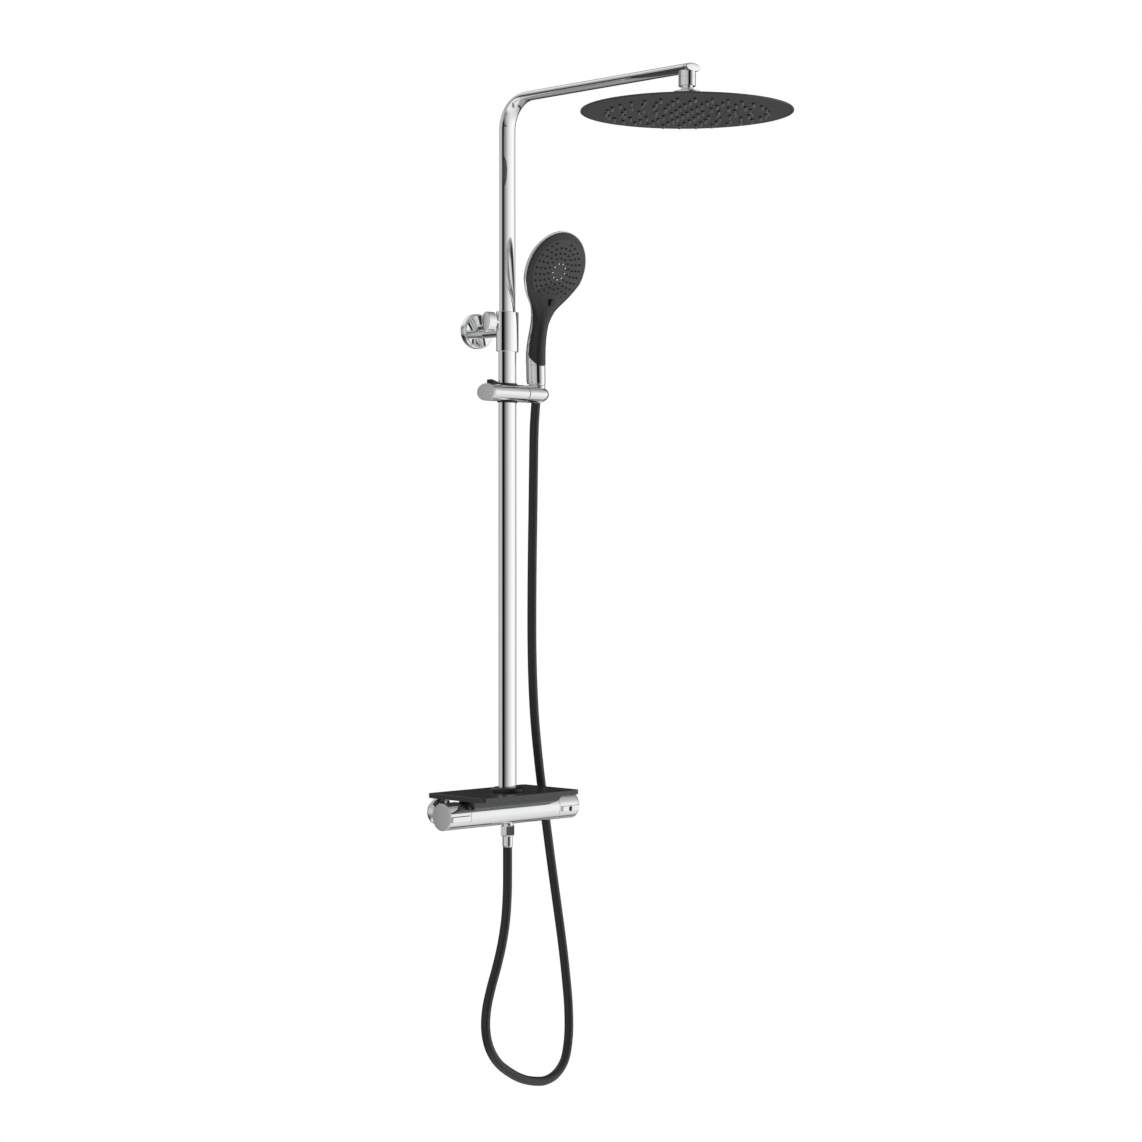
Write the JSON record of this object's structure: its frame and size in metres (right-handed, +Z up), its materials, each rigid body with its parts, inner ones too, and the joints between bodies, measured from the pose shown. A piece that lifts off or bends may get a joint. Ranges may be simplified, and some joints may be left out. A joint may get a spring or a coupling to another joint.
{
  "type": "rainfall shower column",
  "caption": "Wall-mounted shower column: telescoping oval riser with a round overhead spray, a sliding hand shower on a hose, a small shelf and a thermostatic bar mixer.",
  "frame": {"origin": "centre of the upper wall bracket's back face, on the wall plane", "axes": "+Z up along the riser, +Y into the wall, +X along the mixer towards its temperature knob"},
  "size_m": [0.311, 0.6, 1.5053],
  "materials": {
    "chrome": "polished chrome plate",
    "brass": "machined",
    "steel": "plain steel",
    "shelf_grey": "semi-gloss dark grey",
    "face_grey": "satin dark grey",
    "black_plastic": "satin black",
    "hose_black": "satin black, smooth",
    "cap_grey": "satin plated",
    "inner_plastic": "natural acetal",
    "rubber": "silicone"
  },
  "bodies": {
    "column": {"riser_lower_tube": "chrome", "telescope_sleeve": "chrome", "bracket_backplate": "steel", "bracket_screw_upper": "steel", "bracket_screw_lower": "steel", "bracket_flange": "chrome", "bracket_rod": "chrome", "shelf_plate": "shelf_grey", "shelf_saddle": "shelf_grey", "shelf_screw_left": "steel", "shelf_screw_right": "steel", "riser_base_collar": "black_plastic", "riser_nipple": "brass", "mixer_body": "chrome", "thermostat_cartridge": "brass", "flow_cartridge": "brass", "inlet_nut_left": "chrome", "inlet_nut_right": "chrome", "inlet_filter_left": "rubber", "inlet_filter_right": "rubber", "inlet_union_left": "chrome", "inlet_union_right": "chrome", "shutoff_screw_left": "steel", "shutoff_screw_right": "steel", "wall_rosette_left": "chrome", "wall_rosette_right": "chrome", "hose_bottom_ferrule": "chrome", "hose": "hose_black"},
    "clamp": {"clamp_knob": "chrome"},
    "upper_riser": {"riser_upper_tube": "chrome", "arm_end_cap": "chrome", "inner_tube_guide": "inner_plastic", "arm_outlet_boss": "chrome"},
    "head_swivel": {"swivel_nut": "chrome"},
    "rain_head": {"ball_stem": "chrome", "head_shell": "face_grey", "head_face_plate": "face_grey", "head_nozzle_mat": "rubber", "head_seal_ring": "rubber"},
    "slider": {"slider_body": "chrome", "slider_end_cap": "cap_grey", "slider_brake": "black_plastic"},
    "release": {"release_button": "black_plastic"},
    "cradle": {"cradle": "chrome"},
    "handset": {"handset_back_shell": "chrome", "handset_front_shell": "face_grey", "handset_face": "face_grey", "handset_nozzle_mat": "rubber", "handset_collar": "chrome", "hose_cone_nut": "chrome", "hose_top_ferrule": "steel"},
    "selector": {"spray_selector": "black_plastic"},
    "flow": {"flow_knob": "chrome", "flow_knob_cap": "cap_grey", "flow_knob_screw": "steel"},
    "temperature": {"temperature_knob": "chrome", "temperature_knob_cap": "cap_grey", "temperature_knob_screw": "steel"},
    "stop": {"stop_button": "black_plastic"},
    "hose_nut": {"hose_bottom_nut": "chrome"}
  },
  "joints": [
    {"name": "riser_slide", "type": "slide", "parent": "column", "child": "upper_riser", "axis": [0, 0, 1], "range_m": [-0.19, 0.05]},
    {"name": "clamp_turn", "type": "hinge", "parent": "column", "child": "clamp", "pos_m": [-0.036, -0.075, 0.014], "axis": [1, 0, 0], "range_deg": [-10, 350]},
    {"name": "head_swivel", "type": "hinge", "parent": "upper_riser", "child": "head_swivel", "pos_m": [0, -0.441, 0.3271], "axis": [0, 0, 1], "continuous": true},
    {"name": "head_tilt", "type": "hinge", "parent": "head_swivel", "child": "rain_head", "pos_m": [0, -0.441, 0.3271], "axis": [1, 0, 0], "range_deg": [-10, 10]},
    {"name": "holder_slide", "type": "slide", "parent": "column", "child": "slider", "axis": [0, 0, 1], "range_m": [-0.37, 0.03], "deforming": ["hose"]},
    {"name": "release_press", "type": "slide", "parent": "slider", "child": "release", "axis": [0, 0, -1], "range_m": [0, 0.0025], "stiffness_N_per_m": 400},
    {"name": "cradle_tilt", "type": "hinge", "parent": "slider", "child": "cradle", "pos_m": [0.061, -0.075, -0.092], "axis": [1, 0, 0], "range_deg": [-5, 25]},
    {"name": "handset_lift", "type": "slide", "parent": "cradle", "child": "handset", "axis": [0, -0.1045, 0.9945], "range_m": [0, 0.018]},
    {"name": "selector_turn", "type": "hinge", "parent": "handset", "child": "selector", "pos_m": [0.061, -0.11698, 0.09403], "axis": [0, -0.9336, -0.3584], "range_deg": [-8, 8]},
    {"name": "flow_turn", "type": "hinge", "parent": "column", "child": "flow", "pos_m": [-0.113, -0.075, -0.722], "axis": [1, 0, 0], "range_deg": [-60, 90]},
    {"name": "temperature_turn", "type": "hinge", "parent": "column", "child": "temperature", "pos_m": [0.113, -0.075, -0.722], "axis": [1, 0, 0], "range_deg": [-60, 120]},
    {"name": "stop_press", "type": "slide", "parent": "temperature", "child": "stop", "axis": [0, 0.9903, 0.1392], "range_m": [0, 0.002], "stiffness_N_per_m": 500},
    {"name": "hose_nut_turn", "type": "hinge", "parent": "column", "child": "hose_nut", "pos_m": [0, -0.075, -0.752], "axis": [0, 0, 1], "continuous": true}
  ]
}
